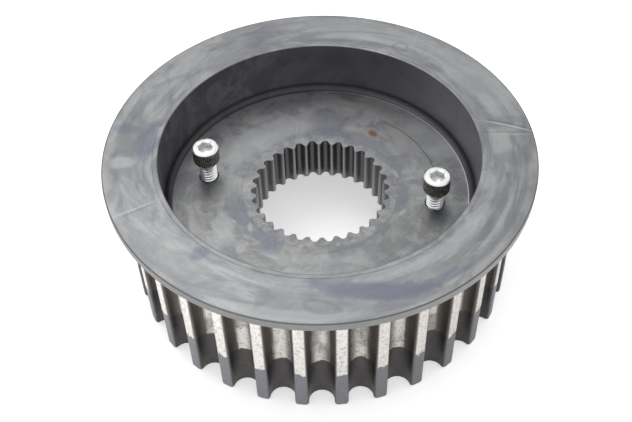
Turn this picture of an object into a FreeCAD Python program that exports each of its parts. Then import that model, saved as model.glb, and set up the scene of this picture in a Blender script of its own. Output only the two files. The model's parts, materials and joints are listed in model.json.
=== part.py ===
"""Toothed belt pulley with a splined bore: a deep-toothed steel rim and web in one piece, a pressed-on
belt flange, and two socket head screws that stand part way out of the web.

Millimetres. +Z runs up the bore axis, z = 0 is the open end of the teeth and the flange is on top.
Angles about the axis are counted from +X towards +Y.
"""

import FreeCAD, Part

import math
import os

from FreeCAD import Vector

# ---------------------------------------------------------------- driving dimensions
# Belt teeth: round-bottomed grooves for a 14 mm pitch belt
TOOTH_COUNT = 32
BELT_PITCH = 14.0
BELT_LINE_OFFSET = 1.4  # from the tooth tips out to the belt's cord line
GROOVE_DEPTH = 6.1
GROOVE_RADIUS = 4.4
TOOTH_TIP_RADIUS = 1.1
TOOTH_FACE_LENGTH = 52.1
TOOTH_END_CHAMFER = 0.4
FIRST_LAND_ANGLE = -85.74

# Belt flange
FLANGE_OVERHANG = 5.4  # beyond the tooth tips
FLANGE_THICKNESS = 3.3
FLANGE_EDGE_CHAMFER = 0.3
SPIGOT_WALL = 1.5  # the flange is pressed over this spigot round the recess's mouth
STAKE_WIDTH = 0.4  # the spigot's end is rolled out over a bevel in the flange

# Upper recess, web and lower recess
RIM_WALL = 7.7  # steel behind the grooves, round the upper recess
RECESS_DEPTH = 21.2
RECESS_MOUTH_CHAMFER = 0.35
RECESS_CORNER_RADIUS = 2.6
WEB_THICKNESS = 16.9
UNDER_RIM_WALL = 9.8
UNDER_MOUTH_CHAMFER = 0.8
UNDER_CORNER_RADIUS = 2.0

# Splined bore: straight-sided stand-in for a 30 degree involute spline, 16 teeth per inch of diameter
SPLINE_TEETH = 30
SPLINE_MODULE = 25.4 / 16
SPLINE_PRESSURE_ANGLE = 30.0
SPLINE_SPACE_WIDTH = 3.2  # at the pitch circle
SPLINE_TIP_DEPTH = 0.5 * SPLINE_MODULE  # from the pitch circle in to the tooth tips
SPLINE_FLANK_DEPTH = 0.55 * SPLINE_MODULE  # from the pitch circle out to the end of the flank
SPLINE_ROOT_DEPTH = 0.9 * SPLINE_MODULE  # from the pitch circle out to the bottom of the space
SPLINE_END_CHAMFER = 0.35
FIRST_SPACE_ANGLE = 0.0

# Lock screws: quarter-inch socket head cap screws, twenty threads to the inch
THREAD_RADIUS = 3.175
SCREW_LENGTH = 15.875  # under the head
HEAD_RADIUS = 4.7625
HEAD_HEIGHT = 6.35
HEAD_CHAMFER = 0.45
SOCKET_FLATS = 4.7625
SOCKET_DEPTH = 3.05
SOCKET_DRILL_DEPTH = 0.9  # cone left by the drill under the hexagon
SOCKET_DRILL_EDGE = 0.05  # the drill is this much smaller than the flats, radially
SOCKET_TURN = {"right": 0.0, "left": 20.0}  # of a corner, from +X
SCREW_TIP_CHAMFER = 0.8
SCREW_TO_WALL = 14.4  # from the screw's axis out to the recess's wall
SCREW_ANGLE = -11.5  # of the right-hand screw; the other is opposite
SCREW_LIFT = {"right": 7.3, "left": 8.6}  # bare thread between the web and the head
HOLE_CLEARANCE = 0.06  # radial, thread crest to hole
HOLE_CHAMFER = 0.45

# Dry thread-locking patch: a thin ring moulded into the lower threads of each screw
PATCH_LENGTH = 5.0
PATCH_FROM_TIP = 2.0
PATCH_THICKNESS = 0.35
PATCH_CLEARANCE = 0.05  # radial, ring to the thread roots
PATCH_END_CLEARANCE = 0.1
PATCH_BELOW_CREST = 0.03

# ---------------------------------------------------------------- worked out from the above
PITCH_RADIUS = TOOTH_COUNT * BELT_PITCH / (2 * math.pi)
TIP_RADIUS = PITCH_RADIUS - BELT_LINE_OFFSET
ROOT_RADIUS = TIP_RADIUS - GROOVE_DEPTH
FLANGE_RADIUS = TIP_RADIUS + FLANGE_OVERHANG
RECESS_RADIUS = ROOT_RADIUS - RIM_WALL
UNDER_RECESS_RADIUS = ROOT_RADIUS - UNDER_RIM_WALL
SPIGOT_RADIUS = RECESS_RADIUS + SPIGOT_WALL
FLANGE_UNDERSIDE_Z = TOOTH_FACE_LENGTH
TOP_Z = TOOTH_FACE_LENGTH + FLANGE_THICKNESS
WEB_TOP_Z = TOP_Z - RECESS_DEPTH
WEB_UNDERSIDE_Z = WEB_TOP_Z - WEB_THICKNESS
SPLINE_PITCH_RADIUS = SPLINE_TEETH * SPLINE_MODULE / 2
SCREW_CIRCLE_RADIUS = RECESS_RADIUS - SCREW_TO_WALL
HOLE_RADIUS = THREAD_RADIUS + HOLE_CLEARANCE
PATCH_OUTER_RADIUS = THREAD_RADIUS - PATCH_BELOW_CREST
PATCH_INNER_RADIUS = PATCH_OUTER_RADIUS - PATCH_THICKNESS
PATCH_GROOVE_RADIUS = PATCH_INNER_RADIUS - PATCH_CLEARANCE
PAST = 1.0  # how far a cutting tool runs past the face that it cuts

UP = Vector(0, 0, 1)


def polar(radius, degrees, z=0.0):
    """The point at this radius and angle about the bore axis."""
    a = math.radians(degrees)
    return Vector(radius * math.cos(a), radius * math.sin(a), z)


def turned(points):
    """The solid that a closed outline of (radius, z) points sweeps in a full turn about +Z."""
    outline = Part.makePolygon([Vector(r, 0, z) for r, z in points + points[:1]])
    return Part.Face(outline).revolve(Vector(), UP, 360)


def turned_path(path):
    """As turned(), for an outline whose stretches are ("line", point) or ("arc", via, point)."""
    edges = []
    last = path[0]
    for step in path[1:]:
        ends = [Vector(r, 0, z) for r, z in step[1:]]
        start = Vector(last[0], 0, last[1])
        if step[0] == "line":
            edges.append(Part.LineSegment(start, ends[0]).toShape())
        else:
            edges.append(Part.Arc(start, ends[0], ends[1]).toShape())
        last = step[-1]
    return Part.Face(Part.Wire(edges)).revolve(Vector(), UP, 360)


def rounded_corner(centre_r, centre_z, radius, degrees):
    """The point halfway round a corner arc, at this angle seen along the (radius, z) plane."""
    a = math.radians(degrees)
    return (centre_r + radius * math.cos(a), centre_z + radius * math.sin(a))


# ---------------------------------------------------------------- toothed body
def groove_form():
    """The radii at which the centres of a groove's arc and of the tooth's rounded corner lie, and
    the angle about the axis between the two."""
    centre = ROOT_RADIUS + GROOVE_RADIUS
    tip_centre = TIP_RADIUS - TOOTH_TIP_RADIUS
    reach = GROOVE_RADIUS + TOOTH_TIP_RADIUS
    cosine = (centre**2 + tip_centre**2 - reach**2) / (2 * centre * tip_centre)
    return centre, tip_centre, math.degrees(math.acos(cosine))


def toothed_outline():
    """The closed outline of the rim seen from above: grooves, rounded tips and lands."""
    centre_r, tip_centre_r, turn = groove_form()
    step = 360 / TOOTH_COUNT
    edges = []
    for i in range(TOOTH_COUNT):
        middle = FIRST_LAND_ANGLE + (i + 0.5) * step
        groove = polar(centre_r, middle)
        meets = {}
        for side in (-1, 1):
            tip = polar(tip_centre_r, middle + side * turn)
            towards = (tip - groove).normalize()
            flank = groove + towards * GROOVE_RADIUS
            land = polar(TIP_RADIUS, middle + side * turn)
            bulge = tip + ((flank - tip) + (land - tip)).normalize() * TOOTH_TIP_RADIUS
            meets[side] = (flank, bulge, land)
        flank, bulge, land = meets[-1]
        edges.append(Part.Arc(land, bulge, flank).toShape())
        edges.append(Part.Arc(flank, polar(ROOT_RADIUS, middle), meets[1][0]).toShape())
        flank, bulge, land = meets[1]
        edges.append(Part.Arc(flank, bulge, land).toShape())
        following = middle + step
        crown = polar(TIP_RADIUS, middle + step / 2)
        edges.append(Part.Arc(land, crown, polar(TIP_RADIUS, following - turn)).toShape())
    return Part.Wire(Part.__sortEdges__(edges))


def spline_outline():
    """The closed outline of the splined bore: tooth tips, straight flanks and rounded spaces."""
    step = 360 / SPLINE_TEETH
    tan_flank = math.tan(math.radians(SPLINE_PRESSURE_ANGLE))
    tip_r = SPLINE_PITCH_RADIUS - SPLINE_TIP_DEPTH
    flank_r = SPLINE_PITCH_RADIUS + SPLINE_FLANK_DEPTH
    root_r = SPLINE_PITCH_RADIUS + SPLINE_ROOT_DEPTH

    def half_angle(radius):
        half_width = SPLINE_SPACE_WIDTH / 2 - (radius - SPLINE_PITCH_RADIUS) * tan_flank
        return math.degrees(half_width / radius)

    edges = []
    for i in range(SPLINE_TEETH):
        middle = FIRST_SPACE_ANGLE + i * step
        low_in = polar(tip_r, middle - half_angle(tip_r))
        low_out = polar(flank_r, middle - half_angle(flank_r))
        high_out = polar(flank_r, middle + half_angle(flank_r))
        high_in = polar(tip_r, middle + half_angle(tip_r))
        next_in = polar(tip_r, middle + step - half_angle(tip_r))
        edges.append(Part.LineSegment(low_in, low_out).toShape())
        edges.append(Part.Arc(low_out, polar(root_r, middle), high_out).toShape())
        edges.append(Part.LineSegment(high_out, high_in).toShape())
        edges.append(Part.Arc(high_in, polar(tip_r, middle + step / 2), next_in).toShape())
    return Part.Wire(Part.__sortEdges__(edges))


def upper_recess():
    """The space above the web, with a rounded floor corner and a bevelled mouth."""
    corner = RECESS_RADIUS - RECESS_CORNER_RADIUS
    floor = WEB_TOP_Z
    via = rounded_corner(corner, floor + RECESS_CORNER_RADIUS, RECESS_CORNER_RADIUS, -45)
    mouth = RECESS_RADIUS + RECESS_MOUTH_CHAMFER
    return turned_path([
        (0, floor),
        ("line", (corner, floor)),
        ("arc", via, (RECESS_RADIUS, floor + RECESS_CORNER_RADIUS)),
        ("line", (RECESS_RADIUS, TOP_Z - RECESS_MOUTH_CHAMFER)),
        ("line", (mouth, TOP_Z)),
        ("line", (mouth, TOP_Z + PAST)),
        ("line", (0, TOP_Z + PAST)),
        ("line", (0, floor)),
    ])


def lower_recess():
    """The space under the web, open at the end of the teeth."""
    corner = UNDER_RECESS_RADIUS - UNDER_CORNER_RADIUS
    roof = WEB_UNDERSIDE_Z
    via = rounded_corner(corner, roof - UNDER_CORNER_RADIUS, UNDER_CORNER_RADIUS, 45)
    mouth = UNDER_RECESS_RADIUS + UNDER_MOUTH_CHAMFER
    return turned_path([
        (0, roof),
        ("line", (0, -PAST)),
        ("line", (mouth, -PAST)),
        ("line", (mouth, 0)),
        ("line", (UNDER_RECESS_RADIUS, UNDER_MOUTH_CHAMFER)),
        ("line", (UNDER_RECESS_RADIUS, roof - UNDER_CORNER_RADIUS)),
        ("arc", via, (corner, roof)),
        ("line", (0, roof)),
    ])


def spigot():
    """The stub that the flange is pressed over, its end rolled outwards."""
    return turned([
        (ROOT_RADIUS - GROOVE_RADIUS, FLANGE_UNDERSIDE_Z - PAST),
        (RECESS_RADIUS, FLANGE_UNDERSIDE_Z - PAST),
        (RECESS_RADIUS, TOP_Z),
        (SPIGOT_RADIUS + STAKE_WIDTH, TOP_Z),
        (SPIGOT_RADIUS, TOP_Z - STAKE_WIDTH),
        (SPIGOT_RADIUS, FLANGE_UNDERSIDE_Z),
        (ROOT_RADIUS - GROOVE_RADIUS, FLANGE_UNDERSIDE_Z),
    ])


def bore_bevel(radius, z, inward):
    """A cone that bevels the end of a hole of this radius; inward is +1 to cut down from z, -1 up."""
    return turned([
        (0, z + inward * PAST),
        (radius, z + inward * PAST),
        (radius, z),
        (0, z - inward * radius),
    ])


def screw_places():
    """(name, centre of the screw on the web's top face) for each lock screw."""
    return [
        ("right", polar(SCREW_CIRCLE_RADIUS, SCREW_ANGLE, WEB_TOP_Z)),
        ("left", polar(SCREW_CIRCLE_RADIUS, SCREW_ANGLE + 180, WEB_TOP_Z)),
    ]


def toothed_body():
    rim = Part.Face(toothed_outline()).extrude(UP * TOOTH_FACE_LENGTH)
    bottom = [e for e in rim.Edges if max(v.Point.z for v in e.Vertexes) < PAST / 2]
    rim = rim.makeChamfer(TOOTH_END_CHAMFER, bottom)
    body = rim.fuse(spigot())
    body = body.cut(upper_recess()).cut(lower_recess())
    bore = Part.Face(spline_outline()).extrude(UP * (WEB_THICKNESS + 2 * PAST))
    bore.translate(UP * (WEB_UNDERSIDE_Z - PAST))
    body = body.cut(bore)
    tip_r = SPLINE_PITCH_RADIUS - SPLINE_TIP_DEPTH
    bevel_r = tip_r + SPLINE_END_CHAMFER
    for z, side in ((WEB_TOP_Z, 1), (WEB_UNDERSIDE_Z, -1)):
        body = body.cut(bore_bevel(bevel_r, z, side))
    for _, place in screw_places():
        below = place - UP * (WEB_THICKNESS + PAST)
        hole = Part.makeCylinder(HOLE_RADIUS, WEB_THICKNESS + 2 * PAST, below)
        body = body.cut(hole)
        for z, side in ((WEB_TOP_Z, 1), (WEB_UNDERSIDE_Z, -1)):
            bevel = bore_bevel(HOLE_RADIUS + HOLE_CHAMFER, z, side)
            bevel.translate(Vector(place.x, place.y, 0))
            body = body.cut(bevel)
    return body


# ---------------------------------------------------------------- belt flange
def belt_flange():
    low, high = FLANGE_UNDERSIDE_Z, TOP_Z
    edge = FLANGE_EDGE_CHAMFER
    return turned([
        (SPIGOT_RADIUS, low),
        (FLANGE_RADIUS - edge, low),
        (FLANGE_RADIUS, low + edge),
        (FLANGE_RADIUS, high - edge),
        (FLANGE_RADIUS - edge, high),
        (SPIGOT_RADIUS + STAKE_WIDTH, high),
        (SPIGOT_RADIUS, high - STAKE_WIDTH),
    ])


# ---------------------------------------------------------------- lock screws and their patches
def lock_screw(place, lift, socket_turn):
    """A socket head cap screw whose head stands this far above the web, with a groove for its patch."""
    tip_z = lift - SCREW_LENGTH
    groove_low = tip_z + PATCH_FROM_TIP - PATCH_END_CLEARANCE
    groove_high = groove_low + PATCH_LENGTH + 2 * PATCH_END_CLEARANCE
    head_top = lift + HEAD_HEIGHT
    screw = turned([
        (0, tip_z),
        (THREAD_RADIUS - SCREW_TIP_CHAMFER, tip_z),
        (THREAD_RADIUS, tip_z + SCREW_TIP_CHAMFER),
        (THREAD_RADIUS, groove_low),
        (PATCH_GROOVE_RADIUS, groove_low),
        (PATCH_GROOVE_RADIUS, groove_high),
        (THREAD_RADIUS, groove_high),
        (THREAD_RADIUS, lift),
        (HEAD_RADIUS, lift),
        (HEAD_RADIUS, head_top - HEAD_CHAMFER),
        (HEAD_RADIUS - HEAD_CHAMFER, head_top),
        (0, head_top),
    ])
    corner = SOCKET_FLATS / math.sqrt(3)
    corners = [polar(corner, 60 * i + socket_turn, head_top - SOCKET_DEPTH) for i in range(7)]
    hexagon = Part.makePolygon(corners)
    socket = Part.Face(hexagon).extrude(UP * (SOCKET_DEPTH + PAST))
    drill_z = head_top - SOCKET_DEPTH
    drill_r = SOCKET_FLATS / 2 - SOCKET_DRILL_EDGE
    drill = turned([
        (0, drill_z + PAST),
        (drill_r, drill_z + PAST),
        (drill_r, drill_z),
        (0, drill_z - SOCKET_DRILL_DEPTH),
    ])
    screw = screw.cut(socket).cut(drill)
    screw.translate(place)
    return screw


def thread_patch(place, lift):
    """The thread-locking ring that lies in the screw's lower threads."""
    low = lift - SCREW_LENGTH + PATCH_FROM_TIP
    patch = turned([
        (PATCH_INNER_RADIUS, low),
        (PATCH_OUTER_RADIUS, low),
        (PATCH_OUTER_RADIUS, low + PATCH_LENGTH),
        (PATCH_INNER_RADIUS, low + PATCH_LENGTH),
    ])
    patch.translate(place)
    return patch


# ---------------------------------------------------------------- write each piece
pieces = {"toothed_body": toothed_body(), "belt_flange": belt_flange()}
for side, place in screw_places():
    pieces["lock_screw_" + side] = lock_screw(place, SCREW_LIFT[side], SOCKET_TURN[side])
    pieces["thread_patch_" + side] = thread_patch(place, SCREW_LIFT[side])

os.makedirs("parts", exist_ok=True)
for name, piece in pieces.items():
    piece.exportStep("parts/" + name + ".step")
    box = piece.BoundBox
    print(name, "solids", len(piece.Solids), "valid", piece.isValid(), "volume", round(piece.Volume, 2),
          "z", round(box.ZMin, 3), round(box.ZMax, 3))
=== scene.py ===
"""A toothed belt pulley standing on a pale table: the steel pulley body, its pressed-on belt flange, and
two socket head lock screws with their thread patches. Metres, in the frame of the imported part."""

import json
import math

import bmesh
import bpy
from mathutils import Matrix, Vector


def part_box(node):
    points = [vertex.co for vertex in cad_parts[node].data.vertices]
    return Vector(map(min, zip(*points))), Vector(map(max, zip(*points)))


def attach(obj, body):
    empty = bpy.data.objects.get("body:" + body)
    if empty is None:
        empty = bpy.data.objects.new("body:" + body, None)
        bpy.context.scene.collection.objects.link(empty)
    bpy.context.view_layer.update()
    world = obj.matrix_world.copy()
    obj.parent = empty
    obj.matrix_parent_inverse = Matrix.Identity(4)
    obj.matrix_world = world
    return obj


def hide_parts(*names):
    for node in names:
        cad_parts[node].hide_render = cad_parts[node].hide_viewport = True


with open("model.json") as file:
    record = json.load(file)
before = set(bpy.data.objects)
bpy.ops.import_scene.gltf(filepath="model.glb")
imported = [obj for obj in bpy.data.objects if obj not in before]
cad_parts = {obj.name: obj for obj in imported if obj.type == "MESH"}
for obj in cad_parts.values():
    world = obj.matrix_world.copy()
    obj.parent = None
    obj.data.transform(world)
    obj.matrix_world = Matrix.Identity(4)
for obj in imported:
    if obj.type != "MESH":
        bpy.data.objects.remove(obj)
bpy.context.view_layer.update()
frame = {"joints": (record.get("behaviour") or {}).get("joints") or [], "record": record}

# ---------------------------------------------------------------- pulley body
# The rim with its belt grooves, the web and the splined hub are one steel forging, turned all over.
# The grooves are hobbed from end to end and the spline is broached. The steel is oxidised dark, and
# the belt has worn the tooth lands and groove bottoms bright next to the flange.
MM = 0.001
UP = Vector((0, 0, 1))
seats = {mount["name"]: mount for mount in frame["record"]["mounts"]}
screw_axes = {j["child"]: Vector(j["pos_m"]) for j in frame["joints"] if j["type"] == "hinge"}
flange_low, flange_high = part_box("belt_flange")

TOOTH_COUNT = 32
FLANGE_OVERHANG = 5.4 * MM
GROOVE_DEPTH = 6.1 * MM
GROOVE_RADIUS = 4.4 * MM
TOOTH_CORNER = 1.1 * MM
TOOTH_END_ROUNDING = 0.9 * MM
FIRST_LAND_ANGLE = math.radians(-85.74)
RIM_WALL = 7.7 * MM
SPIGOT_WALL = 1.5 * MM
SPIGOT_END_ROUNDING = 0.1 * MM
STAKE_WIDTH = 0.4 * MM
MOUTH_BEVEL = 0.35 * MM
MOUTH_EDGE_ROUNDING = 0.12 * MM
RECESS_CORNER = 2.6 * MM
UNDER_MOUTH_BEVEL = 0.8 * MM
UNDER_EDGE_ROUNDING = 0.2 * MM
UNDER_CORNER = 2.0 * MM
WEB_FACE_RADIUS = 50 * MM
TURNED_STEPS = 320

FACE_END = flange_low.z
TOP = flange_high.z
TIP_RADIUS = flange_high.x - FLANGE_OVERHANG
ROOT_RADIUS = TIP_RADIUS - GROOVE_DEPTH
RECESS_RADIUS = ROOT_RADIUS - RIM_WALL
SPIGOT_RADIUS = RECESS_RADIUS + SPIGOT_WALL
UNDER_RADIUS = seats["under_recess"]["dims"]["r_mm"] * MM
WEB_TOP = seats["nut_seat"]["pos_m"][2]
WEB_UNDERSIDE = seats["shoulder_seat"]["pos_m"][2]

SPLINE_TEETH = 30
SPLINE_MODULE = 25.4 / 16 * MM
SPLINE_FLANK_SLOPE = math.tan(math.radians(30))
SPLINE_RADIUS = SPLINE_TEETH * SPLINE_MODULE / 2
SPLINE_TIP = SPLINE_RADIUS - 0.5 * SPLINE_MODULE
SPLINE_FLANK_END = SPLINE_RADIUS + 0.55 * SPLINE_MODULE
SPLINE_ROOT = SPLINE_RADIUS + 0.9 * SPLINE_MODULE
SPLINE_END_BEVEL = 0.35 * MM
SPLINE_SPACE_WIDTH = 3.2 * MM
SPLINE_EDGE_ROUNDING = 0.22 * MM

HOLE_RADIUS = 3.235 * MM
HOLE_BEVEL = 0.45 * MM
HOLE_THREAD_DEPTH = 0.6 * MM
HOLE_STEPS = 48
HOLE_THREAD_STEPS = 36
THREAD_PITCH = 1.27 * MM
HAIR = 0.01 * MM


def polar(radius, angle, height=0.0):
    return Vector((radius * math.cos(angle), radius * math.sin(angle), height))


def swing(bm, geom, centre, angle, steps, copy=False, rise=0.0):
    """Swings geometry about the upright line through centre, and gives what ends up last."""
    moved = bmesh.ops.spin(
        bm, geom=geom, cent=centre, axis=UP, dvec=UP * (rise / steps), angle=angle, steps=steps,
        use_merge=False, use_normal_flip=False, use_duplicate=copy)
    return moved["geom_last"]


def all_round(bm, edges, count):
    """Repeats an open chain of edges count times round the bore, and joins the copies up."""
    verts = list({v for e in edges for v in e.verts})
    start = set(bm.edges) - set(edges)
    swing(bm, verts + edges, Vector(), math.tau * (count - 1) / count, count - 1, copy=True)
    loop = [e for e in bm.edges if e not in start]
    bmesh.ops.remove_doubles(bm, verts=list({v for e in loop for v in e.verts}), dist=0.001 * MM)
    return [e for e in bm.edges if e not in start]


def line_to(bm, vert, place):
    """Draws a straight edge from a vertex to a place, and gives the new vertex."""
    drawn = bmesh.ops.extrude_vert_indiv(bm, verts=[vert])["verts"][0]
    drawn.co = place
    return drawn


def round_off(bm, corners, size, steps):
    """Rounds the corners of an outline or a section, starting this far along each side."""
    bmesh.ops.bevel(bm, geom=corners, offset=size, offset_type="OFFSET", segments=steps, profile=0.5,
                    affect="VERTICES", material=-1)


def belt_outline(bm, inside, height):
    """The closed outline of the teeth and grooves at a height, this far inside the steel."""
    before = set(bm.edges)
    groove = ROOT_RADIUS + GROOVE_RADIUS
    corner = TIP_RADIUS - TOOTH_CORNER
    reach = GROOVE_RADIUS + TOOTH_CORNER
    turn = math.acos((groove**2 + corner**2 - reach**2) / (2 * groove * corner))
    flank = math.atan2(corner * math.sin(turn), corner * math.cos(turn) - groove)
    pitch = math.tau / TOOTH_COUNT
    end = [bm.verts.new(polar(TIP_RADIUS - inside, -turn, height))]
    end = swing(bm, end, polar(corner, -turn), math.pi - flank + turn, 6)
    end = swing(bm, end, polar(groove, 0), 2 * flank - math.tau, 20)
    end = swing(bm, end, polar(corner, turn), math.pi - flank + turn, 6)
    swing(bm, end, Vector(), pitch - 2 * turn, 4)
    loop = all_round(bm, [e for e in bm.edges if e not in before], TOOTH_COUNT)
    to_first = Matrix.Rotation(FIRST_LAND_ANGLE + pitch / 2, 3, "Z")
    bmesh.ops.rotate(bm, verts=list({v for e in loop for v in e.verts}), cent=Vector(), matrix=to_first)
    return loop


def spline_outline(bm, least_radius, height):
    """The closed outline of the splined bore at a height, opened out to at least this radius."""
    before = set(bm.edges)
    pitch = math.tau / SPLINE_TEETH

    def half_space(radius):
        return (SPLINE_SPACE_WIDTH / 2 - (radius - SPLINE_RADIUS) * SPLINE_FLANK_SLOPE) / radius

    def last(geom):
        return next(g for g in geom if isinstance(g, bmesh.types.BMVert))

    flank_radii = [SPLINE_TIP + (SPLINE_FLANK_END - SPLINE_TIP) * i / 4 for i in range(5)]
    half_tip = pitch / 2 - half_space(SPLINE_TIP)
    end = bm.verts.new(polar(SPLINE_TIP, -pitch / 2, height))
    end = last(swing(bm, [end], Vector(), half_tip, 2))
    tip_corners = [end]
    for radius in flank_radii[1:]:
        end = line_to(bm, end, polar(radius, -half_space(radius), height))
    half_width = abs(end.co.y)
    depth = SPLINE_ROOT - end.co.x
    round_radius = (half_width**2 + depth**2) / (2 * depth)
    centre = Vector((SPLINE_ROOT - round_radius, 0, 0))
    end = last(swing(bm, [end], centre, 2 * math.asin(half_width / round_radius), 8))
    for radius in reversed(flank_radii[:-1]):
        end = line_to(bm, end, polar(radius, half_space(radius), height))
    tip_corners.append(end)
    swing(bm, [end], Vector(), half_tip, 2)
    round_off(bm, tip_corners, SPLINE_EDGE_ROUNDING, 3)
    loop = all_round(bm, [e for e in bm.edges if e not in before], SPLINE_TEETH)
    for vert in {v for e in loop for v in e.verts}:
        flat = vert.co.xy.length
        if flat < least_radius:
            vert.co.xy *= least_radius / flat
    return loop


def circle(bm, radius, place, steps):
    ring = bmesh.ops.create_circle(bm, segments=steps, radius=radius, matrix=Matrix.Translation(place))
    return list({e for v in ring["verts"] for e in v.link_edges})


def walls(bm, loops):
    """Joins closed loops one to the next."""
    for one, other in zip(loops, loops[1:]):
        bmesh.ops.bridge_loops(bm, edges=one + other)


def flat_face(bm, loops, facing):
    """Fills the flat space between an outer loop and the loops inside it."""
    edges = [e for loop in loops for e in loop]
    bmesh.ops.triangle_fill(bm, use_beauty=True, use_dissolve=False, edges=edges, normal=UP * facing)


def section(bm, corners, closed=False):
    """Draws a turned section through (radius, height, rounding) corners."""
    chain = [bm.verts.new((corners[0][0], 0, corners[0][1]))]
    for radius, height, _ in corners[1:]:
        chain.append(line_to(bm, chain[-1], Vector((radius, 0, height))))
    if closed:
        bm.edges.new((chain[-1], chain[0]))
    for vert, (_, _, rounding) in zip(chain, corners):
        if rounding:
            round_off(bm, [vert], rounding, 4)


def turned(bm, corners, steps, place=Vector(), closed=False):
    """Turns a section all the way round, and gives its open ends, lowest first."""
    before = set(bm.edges)
    section(bm, corners, closed)
    drawn = [e for e in bm.edges if e not in before]
    geom = list({v for e in drawn for v in e.verts}) + drawn
    bmesh.ops.spin(bm, geom=geom, cent=Vector(), axis=UP, dvec=Vector(), angle=math.tau, steps=steps,
                   use_merge=True, use_normal_flip=False, use_duplicate=False)
    made = [e for e in bm.edges if e not in before]
    bmesh.ops.translate(bm, verts=list({v for e in made for v in e.verts}), vec=place)
    return made


def open_ring(edges, radius, height):
    """The open ring among these edges at a radius and height."""
    def lies_on(vert):
        return abs(vert.co.xy.length - radius) < 2 * HAIR and abs(vert.co.z - height) < 2 * HAIR

    return [e for e in edges if e.is_valid and len(e.link_faces) < 2 and all(map(lies_on, e.verts))]


def helix(bm, profile, place, low, high, steps):
    """A screw surface about an upright axis between two heights. The profile is one pitch of
    (radius, share of a pitch) points. Gives its bottom and top loops."""
    first = set(bm.verts)
    pitches = math.ceil((high - low) / THREAD_PITCH) + 2
    start = low - 1.5 * THREAD_PITCH
    vert = bm.verts.new((profile[0][0], 0, start))
    for turn in range(pitches):
        for radius, share in profile[1:] + [(profile[0][0], 1.0)]:
            vert = line_to(bm, vert, Vector((radius, 0, start + (turn + share) * THREAD_PITCH)))
    drawn = [v for v in bm.verts if v not in first]
    geom = drawn + list({e for v in drawn for e in v.link_edges})
    swing(bm, geom, Vector(), math.tau, steps, rise=THREAD_PITCH)
    drawn = [v for v in bm.verts if v not in first]
    bmesh.ops.remove_doubles(bm, verts=drawn, dist=0.005 * MM)
    ends = []
    for height, below in ((low, True), (high, False)):
        drawn = [v for v in bm.verts if v not in first]
        geom = drawn + list({e for v in drawn for e in v.link_edges})
        geom += list({f for v in drawn for f in v.link_faces})
        cut = bmesh.ops.bisect_plane(bm, geom=geom, dist=0.0005 * MM, plane_co=(0, 0, height), plane_no=UP,
                                     clear_inner=below, clear_outer=not below)
        ends.append([e for e in cut["geom_cut"] if isinstance(e, bmesh.types.BMEdge)])
    bmesh.ops.translate(bm, verts=[v for v in bm.verts if v not in first], vec=place)
    return ends


def piece_from(name, bm, finishes, body, slot, *nodes):
    """Closes a mesh up, makes it one piece of the pulley, and lets it stand for its CAD nodes."""
    bmesh.ops.remove_doubles(bm, verts=bm.verts, dist=0.0005 * MM)
    bmesh.ops.recalc_face_normals(bm, faces=bm.faces)
    mesh = bpy.data.meshes.new(name)
    for face in bm.faces:
        face.smooth = True
    bm.to_mesh(mesh)
    bm.free()
    mesh.set_sharp_from_angle(angle=math.radians(38))
    for finish in finishes:
        mesh.materials.append(finish)
    piece = bpy.data.objects.new(name, mesh)
    bpy.context.scene.collection.objects.link(piece)
    even = piece.modifiers.new("even_shading", "WEIGHTED_NORMAL")
    even.mode = "FACE_AREA"
    even.weight = 100
    even.keep_sharp = True
    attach(piece, body)
    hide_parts(*nodes)


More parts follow.
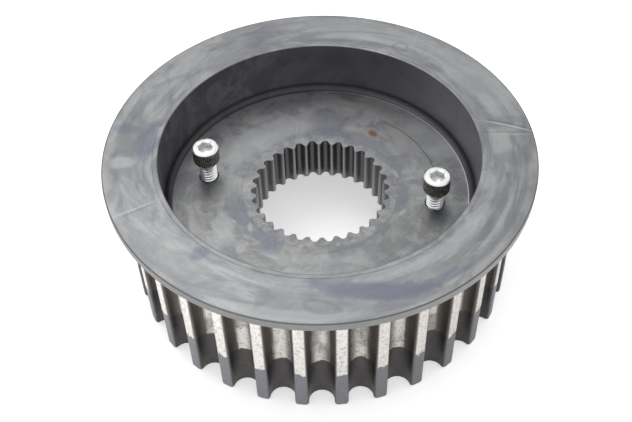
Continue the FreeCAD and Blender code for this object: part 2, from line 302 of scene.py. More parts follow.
def pulley_body_mesh():
    bm = bmesh.new()
    # outside of the rim, from the rounded tooth ends up to the flange
    rim = []
    for a in (0, math.pi / 6, math.pi / 3, math.pi / 2):
        inside = TOOTH_END_ROUNDING * (1 - math.sin(a))
        rim.append(belt_outline(bm, inside, TOOTH_END_ROUNDING * (1 - math.cos(a))))
    rim.append(belt_outline(bm, 0, FACE_END))
    walls(bm, rim)
    # inside of the upper recess, with the spigot that carries the flange
    upper = turned(bm, [
        (SPIGOT_RADIUS, FACE_END, 0),
        (SPIGOT_RADIUS, TOP - STAKE_WIDTH, 0),
        (SPIGOT_RADIUS + STAKE_WIDTH, TOP, SPIGOT_END_ROUNDING),
        (RECESS_RADIUS + MOUTH_BEVEL, TOP, MOUTH_EDGE_ROUNDING),
        (RECESS_RADIUS, TOP - MOUTH_BEVEL, MOUTH_EDGE_ROUNDING),
        (RECESS_RADIUS, WEB_TOP, RECESS_CORNER),
        (WEB_FACE_RADIUS, WEB_TOP, 0),
    ], TURNED_STEPS)
    # inside of the recess underneath
    lower = turned(bm, [
        (WEB_FACE_RADIUS, WEB_UNDERSIDE, 0),
        (UNDER_RADIUS, WEB_UNDERSIDE, UNDER_CORNER),
        (UNDER_RADIUS, UNDER_MOUTH_BEVEL, UNDER_EDGE_ROUNDING),
        (UNDER_RADIUS + UNDER_MOUTH_BEVEL, 0, 0),
    ], TURNED_STEPS)
    flat_face(bm, [rim[0], open_ring(lower, UNDER_RADIUS + UNDER_MOUTH_BEVEL, 0)], -1)
    flat_face(bm, [rim[-1], open_ring(upper, SPIGOT_RADIUS, FACE_END)], 1)
    # splined bore, its teeth bevelled at both ends
    bevel = SPLINE_END_BEVEL
    spline = [spline_outline(bm, SPLINE_TIP + wider, height) for wider, height in (
        (bevel, WEB_UNDERSIDE), (bevel / 2, WEB_UNDERSIDE + bevel / 2), (0, WEB_UNDERSIDE + bevel),
        (0, WEB_TOP - bevel), (bevel / 2, WEB_TOP - bevel / 2), (bevel, WEB_TOP))]
    walls(bm, spline)
    # tapped holes for the lock screws
    thread = [(HOLE_RADIUS, 0), (HOLE_RADIUS, 0.2), (HOLE_RADIUS + HOLE_THREAD_DEPTH, 0.55),
              (HOLE_RADIUS + HOLE_THREAD_DEPTH, 0.65)]
    mouths = {WEB_TOP: [], WEB_UNDERSIDE: []}
    for axis in screw_axes.values():
        place = Vector((axis.x, axis.y, 0))
        low, high = helix(bm, thread, place, WEB_UNDERSIDE + 2 * HOLE_BEVEL, WEB_TOP - 2 * HOLE_BEVEL,
                          HOLE_THREAD_STEPS)
        for end, height, side in ((low, WEB_UNDERSIDE, 1), (high, WEB_TOP, -1)):
            mouth = circle(bm, HOLE_RADIUS + HOLE_BEVEL, place + UP * height, HOLE_STEPS)
            lip = circle(bm, HOLE_RADIUS, place + UP * (height + side * HOLE_BEVEL), HOLE_STEPS)
            walls(bm, [mouth, lip, end])
            mouths[height].append(mouth)
    # the web's two flat faces
    flat_face(bm, [open_ring(upper, WEB_FACE_RADIUS, WEB_TOP), spline[-1]] + mouths[WEB_TOP], 1)
    flat_face(bm, [open_ring(lower, WEB_FACE_RADIUS, WEB_UNDERSIDE), spline[0]] + mouths[WEB_UNDERSIDE], -1)
    # finishes: 0 rim, 1 recesses and web, 2 bore, 3 the spigot's end, which matches the flange
    for face in bm.faces:
        middle = face.calc_center_median()
        out = middle.xy.length
        if out < SPLINE_ROOT + HAIR and WEB_UNDERSIDE + HAIR < middle.z < WEB_TOP - HAIR:
            face.material_index = 2
        elif out > RECESS_RADIUS and middle.z > TOP - 0.6 * MOUTH_BEVEL:
            face.material_index = 3
        elif out < SPIGOT_RADIUS + 2 * STAKE_WIDTH:
            face.material_index = 1
    return bm


class Finish:
    """The nodes of one finish, added a step at a time. Inside it lengths are in millimetres."""

    def __init__(self, name):
        self.material = bpy.data.materials.new(name)
        self.material.use_nodes = True
        self.tree = self.material.node_tree
        self.shader = self.tree.nodes["Principled BSDF"]
        where = self.tree.nodes.new("ShaderNodeTexCoord").outputs["Object"]
        self.place = self.vector("SCALE", where, scale=1 / MM)
        self.x, self.y, self.height = self.parted(self.place)
        self.out = self.vector("LENGTH", self.joined(self.x, self.y, 0.0))
        # what the edges of the marks wander by: 0.5 leaves them even
        self.wander = 0.5

    def feed(self, socket, value):
        if isinstance(value, bpy.types.NodeSocket):
            self.tree.links.new(value, socket)
        elif isinstance(value, tuple) and len(value) == 3 and socket.type == "RGBA":
            socket.default_value = value + (1.0,)
        else:
            socket.default_value = value

    def math(self, operation, *values):
        node = self.tree.nodes.new("ShaderNodeMath")
        node.operation = operation
        for socket, value in zip(node.inputs, values):
            self.feed(socket, value)
        return node.outputs[0]

    def vector(self, operation, *values, scale=None):
        node = self.tree.nodes.new("ShaderNodeVectorMath")
        node.operation = operation
        for socket, value in zip(node.inputs, values):
            self.feed(socket, value)
        if scale is not None:
            node.inputs["Scale"].default_value = scale
        return node.outputs["Value" if operation in ("LENGTH", "DOT_PRODUCT") else "Vector"]

    def parted(self, place):
        """The three coordinates of a place."""
        node = self.tree.nodes.new("ShaderNodeSeparateXYZ")
        self.tree.links.new(place, node.inputs[0])
        return node.outputs

    def joined(self, x, y, z):
        node = self.tree.nodes.new("ShaderNodeCombineXYZ")
        for socket, value in zip(node.inputs, (x, y, z)):
            self.feed(socket, value)
        return node.outputs[0]

    def noise(self, size, detail=3.0, rough=0.5, warp=0.0, at=None, seed=0.0):
        """Cloudy variation from 0 to 1 with features about this size."""
        node = self.tree.nodes.new("ShaderNodeTexNoise")
        node.inputs["Scale"].default_value = 1 / size
        node.inputs["Detail"].default_value = detail
        node.inputs["Roughness"].default_value = rough
        node.inputs["Distortion"].default_value = warp
        moved = self.vector("ADD", at or self.place, (seed * 17.3, seed * 9.1, seed * 5.7))
        self.tree.links.new(moved, node.inputs["Vector"])
        return node.outputs["Fac"]

    def ease(self, value, low, high, to_low=0.0, to_high=1.0):
        """Goes smoothly from to_low at low to to_high at high."""
        node = self.tree.nodes.new("ShaderNodeMapRange")
        node.interpolation_type = "SMOOTHSTEP"
        for socket, given in zip(node.inputs, (value, low, high, to_low, to_high)):
            self.feed(socket, given)
        return node.outputs[0]

    def band(self, value, middle, width, soft):
        """1 within width of middle, fading out over soft on each side."""
        gap = self.math("ABSOLUTE", self.math("SUBTRACT", value, middle))
        return self.ease(gap, width + soft, width)

    def round_about(self, squeeze):
        """Coordinates that stretch a pattern along circles round the bore."""
        shrink = self.math("DIVIDE", squeeze, self.out)
        across, back = (self.math("MULTIPLY", side, shrink) for side in (self.x, self.y))
        return self.joined(self.out, across, back)

    def smudge(self, degrees, out, along, across, lean=0.0, soft=0.35, ring=0.0, wander=1.2):
        """A soft-edged mark at an angle and radius. It reaches along and across this far from its
        middle, and is turned by lean degrees. With ring it is a loop this thick, as a share of its size."""
        a = math.radians(degrees)
        ahead = self.vector("DOT_PRODUCT", self.place, (math.cos(a), math.sin(a), 0.0))
        aside = self.vector("DOT_PRODUCT", self.place, (-math.sin(a), math.cos(a), 0.0))
        run = self.math("MULTIPLY", self.math("ARCTAN2", aside, ahead), out)
        rise = self.math("SUBTRACT", self.out, out)
        spot = self.joined(run, rise, 0.0)
        tilt = math.radians(lean)
        u = self.vector("DOT_PRODUCT", spot, (math.cos(tilt) / along, math.sin(tilt) / along, 0.0))
        v = self.vector("DOT_PRODUCT", spot, (-math.sin(tilt) / across, math.cos(tilt) / across, 0.0))
        far = self.vector("LENGTH", self.joined(u, v, 0.0))
        far = self.math("ADD", far, self.math("MULTIPLY_ADD", self.wander, wander, -wander / 2))
        if ring:
            return self.band(far, 1.0, ring, ring)
        return self.ease(far, 1 + soft, 1 - soft)

    def both(self, *masks):
        """Where all the masks lie."""
        made = masks[0]
        for mask in masks[1:]:
            made = self.math("MULTIPLY", made, mask)
        return made

    def mix(self, share, one, other):
        """Colours one and other mixed by share."""
        node = self.tree.nodes.new("ShaderNodeMix")
        node.data_type = "RGBA"
        for name, value in (("Factor_Float", share), ("A_Color", one), ("B_Color", other)):
            self.feed(next(s for s in node.inputs if s.identifier == name), value)
        return next(s for s in node.outputs if s.identifier == "Result_Color")

    def blend(self, share, one, other):
        """Numbers one and other mixed by share."""
        node = self.tree.nodes.new("ShaderNodeMix")
        for name, value in (("Factor_Float", share), ("A_Float", one), ("B_Float", other)):
            self.feed(next(s for s in node.inputs if s.identifier == name), value)
        return next(s for s in node.outputs if s.identifier == "Result_Float")

    def marked(self, colour, tone, *marks):
        """A colour with marks of another tone over it, each given as its strength and its smudge."""
        for strength, mark in marks:
            colour = self.mix(self.math("MULTIPLY", self.smudge(*mark), strength), colour, tone)
        return colour

    def bump(self, relief, depth):
        """Relief in millimetres of height, with 1 in the relief this deep."""
        node = self.tree.nodes.new("ShaderNodeBump")
        node.inputs["Strength"].default_value = 1.0
        node.inputs["Distance"].default_value = depth * MM
        self.tree.links.new(relief, node.inputs["Height"])
        self.tree.links.new(node.outputs[0], self.shader.inputs["Normal"])

    def coat(self, colour, roughness, metallic=1.0):
        self.feed(self.shader.inputs["Base Color"], colour)
        self.feed(self.shader.inputs["Roughness"], roughness)
        self.feed(self.shader.inputs["Metallic"], metallic)
        return self.material


def rim_finish():
    """Dark oxide, worn bright on the lands and groove bottoms where the belt runs, with painted shade towards
    +X.
    """
    f = Finish("oxidised_and_belt_worn_steel")
    tip, root = TIP_RADIUS / MM, ROOT_RADIUS / MM
    ragged = f.noise(2.6, 4, 0.6, 0.4)
    streaks = f.noise(0.9, 3, 0.6, at=f.vector("MULTIPLY", f.place, (1.1, 1.1, 0.07)))
    mottle = f.noise(1.3, 5, 0.72, 0.3, seed=3)
    land = f.ease(f.out, tip - 0.20, tip - 0.04)
    # the belt's track ends raggedly, a third of the way up from the open end
    track_end = 19.3
    reach = f.math("ADD", f.height, f.math("MULTIPLY_ADD", ragged, 9.0, -4.5))
    on_track = f.ease(reach, track_end - 0.4, track_end + 0.4)
    reach_in_groove = f.math("ADD", f.height, f.math("MULTIPLY_ADD", ragged, 4.0, -2.0))
    in_groove = f.ease(reach_in_groove, track_end - 0.7, track_end + 0.1)
    patch = f.math("ADD", f.out, f.math("MULTIPLY_ADD", streaks, 1.6, -0.8))
    varied = f.noise(11.0, 3, 0.55, 0.5, seed=2)
    floor = f.both(f.ease(patch, root + 1.7, root + 0.8), in_groove,
                   f.ease(mottle, 0.32, 0.55, 0.25, 1.0), f.ease(varied, 0.36, 0.56, 0.50, 1.0))
    worn = f.math("MAXIMUM", f.both(land, on_track), floor)
    oxide = f.mix(f.noise(4.0, 4, 0.6, 0.8, seed=1), (0.060, 0.057, 0.056), (0.125, 0.118, 0.114))
    flank = f.both(f.ease(f.out, root + 0.8, root + 1.8), f.ease(f.out, tip - 0.3, tip - 0.9), in_groove)
    grime = f.mix(mottle, (0.105, 0.085, 0.070), (0.25, 0.215, 0.185))
    oxide = f.mix(f.math("MULTIPLY", flank, 0.75), oxide, grime)
    smooth_land = f.mix(mottle, (0.18, 0.18, 0.193), (0.28, 0.28, 0.295))
    oxide = f.mix(f.ease(f.out, tip - 0.6, tip - 0.1), oxide, smooth_land)
    # painted shade: the oxide, the bare wear and the scuffs are painted darker towards +X, the side away from
    # the lamp
    side = f.ease(f.x, -60.0, 60.0)
    oxide = f.mix(side, oxide, f.mix(0.30, oxide, (0.02, 0.018, 0.018)))
    bare = f.mix(streaks, f.mix(side, (0.66, 0.635, 0.60), (0.50, 0.475, 0.44)),
                 f.mix(side, (0.93, 0.905, 0.86), (0.70, 0.675, 0.64)))
    scuffed = f.mix(side, (0.38, 0.345, 0.31), (0.30, 0.245, 0.20))
    bare = f.mix(f.math("MULTIPLY", f.ease(mottle, 0.46, 0.66), 0.68), bare, scuffed)
    freckled = f.both(f.ease(f.noise(0.8, 3, 0.6, seed=5), 0.60, 0.72), f.ease(ragged, 0.42, 0.58))
    bare = f.mix(f.math("MULTIPLY", freckled, 0.7), bare, (0.12, 0.10, 0.085))
    f.bump(f.math("ADD", f.noise(0.5, 3, 0.6, seed=4), f.math("MULTIPLY", streaks, 0.6)), 0.03)
    roughness = f.blend(worn, f.blend(ragged, 0.42, 0.60), f.blend(streaks, 0.26, 0.42))
    return f.coat(f.mix(worn, oxide, bare), roughness)


def recess_finish():
    """Blue-grey oxide with turning marks, slate stains, a rubbed nut seat and a spot of rust, with painted
    light on the far side of the web and painted shade and a painted highlight on the recess wall and its
    corner.
    """
    f = Finish("oxidised_turned_steel")
    recess, web_top = RECESS_RADIUS / MM, WEB_TOP / MM
    rings = f.noise(0.35, 2, 0.5, at=f.joined(f.out, 0.0, f.height))
    brushed = f.noise(5.0, 4, 0.6, 0.8, at=f.round_about(14.0))
    f.wander = f.noise(5.0, 6, 0.68, 0.6, seed=8)
    colour = f.mix(f.ease(brushed, 0.32, 0.68), (0.175, 0.177, 0.177), (0.270, 0.272, 0.268))
    # painted light: the web is painted lighter towards +Y, its far side
    colour = f.mix(f.ease(f.y, -20.0, 40.0, 0.0, 0.55), colour, (0.40, 0.40, 0.405))
    cloud = f.noise(13.0, 4, 0.55, 1.0)
    colour = f.mix(f.ease(cloud, 0.47, 0.60, 0.0, 0.55), colour, (0.150, 0.154, 0.172))
    patchy = f.noise(8.0, 5, 0.62, 0.8, seed=10)
    colour = f.mix(f.ease(patchy, 0.50, 0.66, 0.0, 0.50), colour, (0.36, 0.362, 0.355))
    slate = (0.165, 0.172, 0.205)
    colour = f.marked(
        colour, slate,
        (0.60, (84, 36, 7.5, 7.5)), (0.60, (-152, 30.5, 17, 2.6)), (0.60, (-10, 30.0, 8.5, 2.6)),
        (0.60, (55, 29.5, 24, 3.6)), (0.60, (-124, 31.5, 4, 4.2, 30)), (0.60, (-62, 29.6, 15, 0.8, -3)),
        (0.60, (-165, 33.5, 6, 2.0)), (0.60, (172, 45, 3, 5)))
    pale = (0.40, 0.415, 0.42)
    colour = f.marked(
        colour, pale,
        (0.50, (30, 48.5, 14, 4.6)), (0.22, (-92, 36, 19, 4.5)), (0.55, (124, 35.5, 18, 6)),
        (0.42, (-152, 39, 8, 3.6, 20)), (0.50, (57.5, 42, 0.5, 2.6, -15)), (0.50, (-145, 30.6, 2.2, 0.9, 30)),
        (0.50, (-155, 34.2, 1.5, 0.5, -20)), (0.50, (-24, 31.5, 1.8, 0.8, 20)),
        (0.50, (13, 28.6, 2.4, 0.8, -8)))
    fine = f.noise(0.8, 4, 0.7, seed=6)
    colour = f.mix(f.ease(fine, 0.35, 0.75, 0.0, 0.22), colour, (0.42, 0.415, 0.40))
    # the nut's face has rubbed a band round the spline, broken where oil kept it off
    rub = f.both(f.band(f.out, 26.6, 0.7, 1.6), f.ease(f.noise(2.6, 4, 0.65, seed=7), 0.48, 0.66))
    colour = f.mix(f.math("MULTIPLY", rub, 0.34), colour, (0.46, 0.46, 0.44))
    ring = f.both(f.band(f.out, 28.6, 0.1, 0.5), f.ease(brushed, 0.46, 0.64))
    colour = f.mix(f.math("MULTIPLY", ring, 0.35), colour, (0.10, 0.10, 0.11))
    # a dark line left by the edge of the lock plate, and a spot of rust with its pale halo
    upper_face = f.ease(f.height, web_top - 4.2, web_top - 1.2)
    wavering = f.math("ADD", f.out, f.math("MULTIPLY_ADD", f.wander, 1.6, -0.8))
    plate_line = f.both(f.band(wavering, 43.2, 0.12, 0.3), f.smudge(32, 43, 16, 4), upper_face)
    colour = f.mix(f.math("MULTIPLY", plate_line, 0.6), colour, (0.09, 0.09, 0.10))
    colour = f.mix(f.both(f.smudge(54.5, 35.6, 3.0, 2.4, 10), upper_face, 0.6), colour, (0.40, 0.36, 0.34))
    rust = f.smudge(53.5, 35.2, 2.1, 1.5, 20, soft=0.6)
    colour = f.mix(f.both(rust, upper_face, 0.85), colour, (0.20, 0.090, 0.055))
    # painted shade and light: the wall of the recess is painted darker, and painted lighter in patches on its
    # left and evenly on its right, where the lamp light falls
    wall = f.ease(f.out, recess - 1.5, recess - 0.2)
    lit = f.ease(f.noise(9.0, 4, 0.6, 0.8, seed=9), 0.40, 0.62)
    shade = f.mix(f.both(lit, f.ease(f.x, 10.0, -35.0)), (0.125, 0.112, 0.130), (0.22, 0.21, 0.225))
    shade = f.mix(f.ease(f.x, 25.0, 52.0), shade, (0.26, 0.25, 0.27))
    colour = f.mix(f.math("MULTIPLY", wall, 0.80), colour, shade)
    # painted shade over the corner fillet all round, hiding its reflection, and a thin painted highlight
    # along the web's edge towards +X
    corner = f.both(f.ease(f.out, recess - 2.7, recess - 2.3),
                    f.ease(f.height, web_top + 2.9, web_top + 1.8))
    painted_edge_highlight = f.both(f.band(f.out, recess - 2.5, 0.10, 0.15), f.ease(f.x, -8.0, 12.0))
    corner = f.math("SUBTRACT", corner, f.math("MULTIPLY", painted_edge_highlight, 0.9))
    colour = f.mix(f.math("MULTIPLY", corner, 0.90), colour, (0.040, 0.036, 0.040))
    colour = f.mix(f.math("MULTIPLY", painted_edge_highlight, 0.8), colour, (0.55, 0.55, 0.56))
    f.bump(f.math("ADD", rings, f.math("MULTIPLY", fine, 0.6)), 0.018)
    return f.coat(colour, f.blend(brushed, 0.36, 0.50))


def bore_finish():
    """Broached spline, dark with old grease, its tooth tips rubbed."""
    f = Finish("greased_broached_steel")
    drawn = f.noise(0.7, 3, 0.6, at=f.vector("MULTIPLY", f.place, (1.4, 1.4, 0.12)))
    tips = f.ease(f.out, SPLINE_TIP / MM + 0.88, SPLINE_TIP / MM + 0.18)
    colour = f.mix(drawn, (0.075, 0.072, 0.076), (0.17, 0.166, 0.172))
    colour = f.mix(f.math("MULTIPLY", tips, 0.7), colour, (0.34, 0.34, 0.345))
    f.bump(drawn, 0.02)
    return f.coat(colour, f.blend(drawn, 0.36, 0.5))


def flange_finish():
    """Blue-grey oxide with old oil: slate pools, tide lines and a few rubbed streaks."""
    f = Finish("stained_flange_steel")
    edge, top = flange_high.x / MM, TOP / MM
    smeared = f.noise(6.5, 5, 0.6, 0.9, at=f.round_about(20.0), seed=11)
    f.wander = f.noise(5.0, 6, 0.68, 0.6, seed=12)
    colour = f.mix(f.ease(smeared, 0.32, 0.68), (0.212, 0.215, 0.221), (0.362, 0.366, 0.364))
    cloud = f.noise(20.0, 3, 0.5, 0.8, seed=13)
    colour = f.mix(f.ease(cloud, 0.46, 0.60, 0.0, 0.5), colour, (0.215, 0.218, 0.230))
    tide = f.band(f.noise(15.0, 3, 0.5, 1.0, at=f.round_about(26.0), seed=14), 0.52, 0.006, 0.026)
    colour = f.mix(f.math("MULTIPLY", tide, 0.22), colour, (0.15, 0.154, 0.17))
    rubbed = (0.42, 0.43, 0.425)
    colour = f.marked(
        colour, rubbed,
        (0.12, (-142, 68.5, 20, 5.5)), (0.25, (-100, 72.5, 26, 2.0)), (0.50, (-46, 61.2, 28, 2.0)),
        (0.50, (-32, 68.4, 17, 0.8, -1)), (0.50, (-176, 68, 3.0, 4.4)), (0.50, (78, 62.3, 15, 1.5, -4)),
        (0.45, (34, 68, 28, 7)), (0.42, (74, 68, 28, 6)), (0.45, (149, 59.8, 3.2, 0.9)),
        (0.40, (-118, 62.5, 12, 1.4)))
    slate = (0.155, 0.162, 0.205)
    colour = f.marked(
        colour, slate,
        (0.80, (-77, 65.4, 19, 3.4, 16)), (0.55, (-60, 69.6, 12, 1.9, 4)), (0.60, (175, 60.8, 9, 3.8)),
        (0.55, (170, 69, 2.4, 5)), (0.55, (-130, 60.5, 2.4, 3.4, 8)), (0.35, (108, 66, 8, 9)),
        (0.30, (152, 62, 11, 1.4, 8)))
    oily = (0.185, 0.182, 0.186)
    colour = f.marked(
        colour, oily,
        (0.50, (-30, 71.2, 34, 1.1)), (0.50, (-36, 65.8, 28, 1.4)), (0.40, (-7, 66.5, 3.4, 6.5)),
        (0.40, (9.0, 66, 2.6, 7)), (0.50, (-113, 70.8, 10, 0.8, -8)), (0.40, (-106, 67.5, 1.6, 4, 20)),
        (0.40, (-112, 63.4, 9, 0.8, 4)), (0.35, (76, 66.0, 20, 0.7, -8)), (0.30, (36, 60, 10, 1.2, 6)))
    # rings left by drops
    for mark in ((58.5, 62.6, 2.6, 2.6), (-91, 68.6, 5, 2.2, 14)):
        colour = f.mix(f.math("MULTIPLY", f.smudge(*mark, ring=0.16), 0.35), colour, (0.16, 0.162, 0.175))
    # scratches across the top face, each a dark line beside a pale one
    top_face = f.ease(f.height, top - 1.4, top - 0.6)
    for strength, mark, tone in (
            (0.60, (8.2, 66.8, 8.5, 0.26, 118), 0.12), (0.60, (4.0, 66.8, 8.5, 0.20, 96), 0.13),
            (0.60, (7.0, 67.2, 8.5, 0.34, 117), 0.55), (0.45, (3.2, 66.8, 8.5, 0.28, 96), 0.45),
            (0.45, (-156.6, 67, 7.5, 0.22, 86), 0.55), (0.40, (-155.6, 67, 7.5, 0.22, 86), 0.14)):
        colour = f.mix(f.both(f.smudge(*mark, wander=0.25), top_face, strength), colour, (tone, tone, tone))
    fine = f.noise(0.7, 4, 0.7, seed=15)
    colour = f.mix(f.ease(fine, 0.45, 0.8, 0.0, 0.35), colour, (0.19, 0.192, 0.20))
    # the turned edge is duller and pitted, and a painted dark reflection lies along the rounding where the
    # top face breaks over
    pitted = f.mix(fine, (0.14, 0.137, 0.132), (0.29, 0.285, 0.275))
    colour = f.mix(f.math("MULTIPLY", f.ease(f.out, edge - 0.4, edge - 0.1), 0.8), colour, pitted)
    lip = f.both(f.ease(f.out, edge - 0.55, edge - 0.35), f.ease(f.height, top - 0.45, top - 0.25))
    colour = f.mix(f.math("MULTIPLY", lip, 0.75), colour, (0.10, 0.10, 0.10))
    rings = f.noise(0.3, 2, 0.5, at=f.joined(f.out, 0.0, f.height))
    f.bump(f.math("ADD", rings, f.math("MULTIPLY", fine, 0.5)), 0.014)
    return f.coat(colour, f.blend(smeared, 0.36, 0.50))


flange_steel = flange_finish()
body_finishes = [rim_finish(), recess_finish(), bore_finish(), flange_steel]
piece_from("toothed_pulley_body", pulley_body_mesh(), body_finishes, "pulley", "pulley_steel", "toothed_body")


# ---------------------------------------------------------------- belt flange
# A flat ring cut from steel plate, turned on its edges and pressed over the spigot of the body, whose
# end is rolled out over it. It keeps the belt from walking off, and it carries old oil stains.
FLANGE_EDGE_ROUNDING = 0.3 * MM
FLANGE_BORE_ROUNDING = 0.1 * MM
FLANGE_STEPS = 384
SEAM = 0.03 * MM


def flange_mesh():
    bm = bmesh.new()
    turned(bm, [
        (SPIGOT_RADIUS + SEAM, flange_low.z, FLANGE_BORE_ROUNDING),
        (flange_high.x, flange_low.z, FLANGE_EDGE_ROUNDING),
        (flange_high.x, flange_high.z, FLANGE_EDGE_ROUNDING),
        (SPIGOT_RADIUS + STAKE_WIDTH + SEAM, flange_high.z, FLANGE_BORE_ROUNDING),
        (SPIGOT_RADIUS + SEAM, flange_high.z - STAKE_WIDTH, FLANGE_BORE_ROUNDING / 2),
    ], FLANGE_STEPS, closed=True)
    return bm


piece_from("belt_flange_ring", flange_mesh(), [flange_steel], "pulley", "flange_steel", "belt_flange")


# ---------------------------------------------------------------- lock screws
# Two quarter-inch socket head cap screws, cold headed with a knurled head and a hexagon socket, then
# thread rolled and zinc plated. They stand part way out of the web, as when the lock plate is off.
HEAD_HEIGHT = 6.35 * MM
HEAD_RADIUS = 4.7625 * MM
HEAD_BEVEL = 0.45 * MM
HEAD_UNDER_BEVEL = 0.5 * MM
HEAD_EDGE_ROUNDING = 0.12 * MM
HEAD_PLAIN_BAND = 0.25 * MM
HEAD_STEPS = 72
KNURLS = 36
KNURL_DEPTH = 0.22 * MM
KNURL_START = 0.4 * MM
KNURL_RUN_OUT = 0.3 * MM
SOCKET_FLATS = 4.7625 * MM
SOCKET_DEPTH = 3.05 * MM
SOCKET_LEAD_IN = 0.3 * MM
SOCKET_FLARE = 0.08 * MM
SOCKET_DRILL_RADIUS = SOCKET_FLATS / 2 - 0.05 * MM
SOCKET_DRILL_DEPTH = 0.9 * MM
SOCKET_DRILL_STEPS = 48
DRILL_POINT_RADIUS = 0.02 * MM
SOCKET_TURN = {"right": 0.0, "left": math.radians(20)}
SCREW_RADIUS = 3.175 * MM
NECK_LENGTH = 0.35 * MM
THREAD_CORE = 2.42 * MM
SCREW_THREAD_STEPS = 40
PATCH_GROOVE = 2.74 * MM
PATCH_GROOVE_OVERRUN = 0.1 * MM
TIP_BEVEL = 0.8 * MM


def head_outline(bm, radius, depth, height):
    """A closed outline of the head at a height, knurled to this depth."""
    before = set(bm.edges)
    pitch = math.tau / KNURLS
    shape = ((0.0, depth), (0.2, 0.25 * depth), (0.35, 0.0), (0.65, 0.0), (0.8, 0.25 * depth), (1.0, depth))
    vert = bm.verts.new(polar(radius - depth, 0, height))
    for share, in_by in shape[1:]:
        vert = line_to(bm, vert, polar(radius - in_by, share * pitch, height))
    return all_round(bm, [e for e in bm.edges if e not in before], KNURLS)


def screw_mesh(side, axis, low, high, patch_low, patch_high):
    bm = bmesh.new()
    # outside of the head, from its underside to its top
    under = high - HEAD_HEIGHT
    bevel_low = high - HEAD_BEVEL
    plain_low = bevel_low - HEAD_PLAIN_BAND
    head = [
        circle(bm, HEAD_RADIUS - HEAD_UNDER_BEVEL, UP * under, HEAD_STEPS),
        head_outline(bm, HEAD_RADIUS - HEAD_EDGE_ROUNDING, 0.0, under + HEAD_EDGE_ROUNDING),
        head_outline(bm, HEAD_RADIUS, KNURL_DEPTH, under + KNURL_START),
        head_outline(bm, HEAD_RADIUS, KNURL_DEPTH, plain_low - KNURL_RUN_OUT),
        head_outline(bm, HEAD_RADIUS, 0.0, plain_low),
        head_outline(bm, HEAD_RADIUS, 0.0, bevel_low),
        circle(bm, HEAD_RADIUS - 0.85 * HEAD_BEVEL, UP * (high - HEAD_EDGE_ROUNDING), HEAD_STEPS),
        circle(bm, HEAD_RADIUS - 1.2 * HEAD_BEVEL, UP * high, HEAD_STEPS),
    ]
    walls(bm, head)
    # socket, with the cone of the drill at its bottom
    corner = SOCKET_FLATS / math.sqrt(3)
    floor = high - SOCKET_DEPTH
    mouth = circle(bm, corner + SOCKET_FLARE, UP * high, HEAD_STEPS)
    flat_face(bm, [head[-1], mouth], 1)
    hexagons = [circle(bm, corner, UP * z, 6) for z in (high - SOCKET_LEAD_IN, floor)]
    walls(bm, [mouth] + hexagons)
    drill = circle(bm, SOCKET_DRILL_RADIUS, UP * floor, SOCKET_DRILL_STEPS)
    flat_face(bm, [hexagons[-1], drill], 1)
    point = circle(bm, DRILL_POINT_RADIUS, UP * (floor - SOCKET_DRILL_DEPTH), SOCKET_DRILL_STEPS)
    walls(bm, [drill, point])
    bmesh.ops.contextual_create(bm, geom=point)
    # neck under the head, thread, and bevelled end
    shoulder = under - NECK_LENGTH
    thread = [(THREAD_CORE, 0), (THREAD_CORE, 0.12), (SCREW_RADIUS, 0.5), (SCREW_RADIUS, 0.62)]
    end, start = helix(bm, thread, Vector(), low, shoulder, SCREW_THREAD_STEPS)
    for vert in {v for v in bm.verts if v.co.z < shoulder - HAIR}:
        out = vert.co.xy.length
        allowed = SCREW_RADIUS - TIP_BEVEL + (vert.co.z - low)
        if patch_low - PATCH_GROOVE_OVERRUN < vert.co.z < patch_high + PATCH_GROOVE_OVERRUN:
            allowed = min(allowed, PATCH_GROOVE)
        if out > allowed:
            vert.co.xy *= allowed / out
    neck = circle(bm, SCREW_RADIUS, UP * under, HEAD_STEPS)
    walls(bm, [start, neck])
    flat_face(bm, [neck, head[0]], -1)
    bmesh.ops.contextual_create(bm, geom=end)
    bmesh.ops.rotate(bm, verts=bm.verts, cent=Vector(), matrix=Matrix.Rotation(SOCKET_TURN[side], 3, "Z"))
    bmesh.ops.translate(bm, verts=bm.verts, vec=Vector((axis.x, axis.y, 0)))
    return bm


def screw_finish(side, axis, under):
    """Zinc plate: bright on the thread and the top of the head, dark with oil down the knurled side, with
    painted shade inside the socket.
    """
    f = Finish("oiled_zinc_" + side)
    x, y, _ = f.parted(f.vector("SUBTRACT", f.place, (axis.x / MM, axis.y / MM, 0.0)))
    out = f.vector("LENGTH", f.joined(x, y, 0.0))
    low = under / MM
    head_side = f.both(f.ease(out, 4.35, 4.55), f.band(f.height, low + 2.75, 2.75, 0.15))
    # painted shade: the inside of the socket is painted a little darker
    socket = f.both(f.ease(out, 2.85, 2.7), f.ease(f.height, low + 6.2, low + 5.6),
                    f.ease(f.height, low, low + 0.2))
    mottle = f.noise(0.9, 4, 0.6, 0.5, seed=21)
    bright = f.mix(mottle, (0.86, 0.865, 0.85), (0.97, 0.975, 0.96))
    oily = f.mix(f.ease(mottle, 0.35, 0.7), (0.13, 0.137, 0.105), (0.48, 0.48, 0.40))
    colour = f.mix(head_side, bright, oily)
    colour = f.mix(f.math("MULTIPLY", socket, 0.25), colour, (0.12, 0.12, 0.11))
    f.bump(mottle, 0.02)
    return f.coat(colour, f.blend(head_side, f.blend(mottle, 0.18, 0.32), 0.42))


for body, axis in screw_axes.items():
    side = body.split("_")[0]
    low, high = (corner.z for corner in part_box("lock_screw_" + side))
    patch_low, patch_high = (corner.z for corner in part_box("thread_patch_" + side))
    mesh = screw_mesh(side, axis, low, high, patch_low, patch_high)
    piece_from("socket_head_screw_" + side, mesh, [screw_finish(side, axis, high - HEAD_HEIGHT)],
               body, "screw_zinc", "lock_screw_" + side)


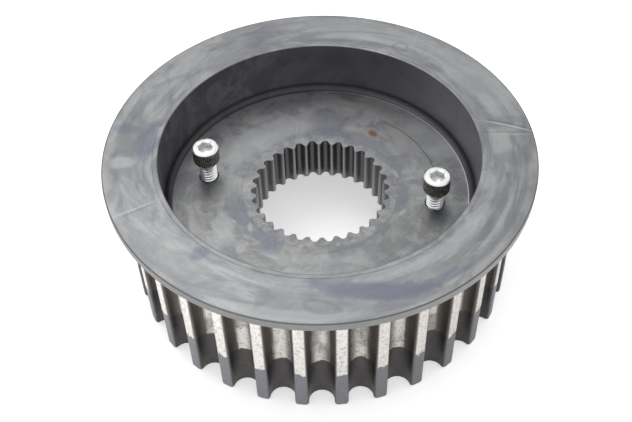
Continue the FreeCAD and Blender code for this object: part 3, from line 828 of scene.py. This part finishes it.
# ---------------------------------------------------------------- thread patches
# A dry thread-locking compound cured as a thin sleeve round the lower threads of each screw. It can't
# be seen while the screw is in its hole.
PATCH_SEAM = 0.055 * MM
PATCH_BELOW_CRESTS = 0.03 * MM
PATCH_ROUNDING = 0.1 * MM
PATCH_STEPS = 64


def patch_mesh(axis, low, high):
    bm = bmesh.new()
    inner = PATCH_GROOVE + PATCH_SEAM
    outer = SCREW_RADIUS - PATCH_BELOW_CRESTS
    corners = ((inner, low), (outer, low), (outer, high), (inner, high))
    section_corners = [(radius, height, PATCH_ROUNDING) for radius, height in corners]
    turned(bm, section_corners, PATCH_STEPS, place=Vector((axis.x, axis.y, 0)), closed=True)
    return bm


def patch_finish():
    f = Finish("dry_thread_compound")
    crust = f.noise(0.5, 4, 0.7, seed=31)
    f.bump(crust, 0.05)
    return f.coat(f.mix(crust, (0.06, 0.057, 0.05), (0.14, 0.133, 0.12)), f.blend(crust, 0.7, 0.9), 0.0)


compound = patch_finish()
for body, axis in screw_axes.items():
    side = body.split("_")[0]
    low, high = (corner.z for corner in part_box("thread_patch_" + side))
    piece_from("thread_patch_sleeve_" + side, patch_mesh(axis, low, high), [compound],
               side + "_patch", "thread_patch", "thread_patch_" + side)


# ---------------------------------------------------------------- table, light and camera
# A plain white table top in a bright room with soft light from a broad lamp above and behind the left
# shoulder of the pulley.
TABLE_SIZE = 6.0


def table_top():
    bm = bmesh.new()
    bmesh.ops.create_grid(bm, x_segments=1, y_segments=1, size=TABLE_SIZE / 2)
    mesh = bpy.data.meshes.new("table_top")
    bm.to_mesh(mesh)
    bm.free()
    finish = bpy.data.materials.new("white_table")
    finish.use_nodes = True
    shader = finish.node_tree.nodes["Principled BSDF"]
    shader.inputs["Base Color"].default_value = (0.86, 0.86, 0.865, 1)
    shader.inputs["Roughness"].default_value = 0.6
    shader.inputs["Emission Color"].default_value = (1, 0.995, 0.99, 1)
    shader.inputs["Emission Strength"].default_value = 0.50
    mesh.materials.append(finish)
    table = bpy.data.objects.new("table_top", mesh)
    bpy.context.scene.collection.objects.link(table)


def lamp(name, place, towards, size, watts):
    light = bpy.data.lights.new(name, "AREA")
    light.shape = "DISK"
    light.size = size
    light.energy = watts
    stand = bpy.data.objects.new(name, light)
    stand.location = place
    stand.rotation_euler = (Vector(towards) - Vector(place)).to_track_quat("-Z", "Y").to_euler()
    bpy.context.scene.collection.objects.link(stand)


def room_light(strength):
    world = bpy.data.worlds.new("white_room")
    bpy.context.scene.world = world
    world.use_nodes = True
    sky = world.node_tree.nodes["Background"]
    sky.inputs["Color"].default_value = (0.97, 0.985, 1.0, 1)
    sky.inputs["Strength"].default_value = strength


def place_camera():
    """Looks down on the pulley from the front at 48 degrees, rolled by under two degrees."""
    eye = Vector((-0.00177, -0.24163, 0.29038))
    elevation = math.radians(47.983)
    roll = math.radians(-1.697)
    back = Vector((0, -math.cos(elevation), math.sin(elevation)))
    level = Vector((1, 0, 0))
    upright = back.cross(level)
    right = level * math.cos(roll) + upright * math.sin(roll)
    up = upright * math.cos(roll) - level * math.sin(roll)
    lens = bpy.data.cameras.new("camera")
    lens.lens = 55.11
    lens.sensor_width = 36.0
    lens.clip_start = 0.01
    camera = bpy.data.objects.new("camera", lens)
    turn = Matrix((right, up, back)).transposed().to_4x4()
    camera.matrix_world = Matrix.Translation(eye) @ turn
    bpy.context.scene.collection.objects.link(camera)
    bpy.context.scene.camera = camera


table_top()
room_light(strength=0.93)
lamp("broad_lamp", place=(-0.30, 0.38, 1.25), towards=(0, 0, 0), size=0.8, watts=4.5)
place_camera()
bpy.context.scene.view_settings.view_transform = "Standard"
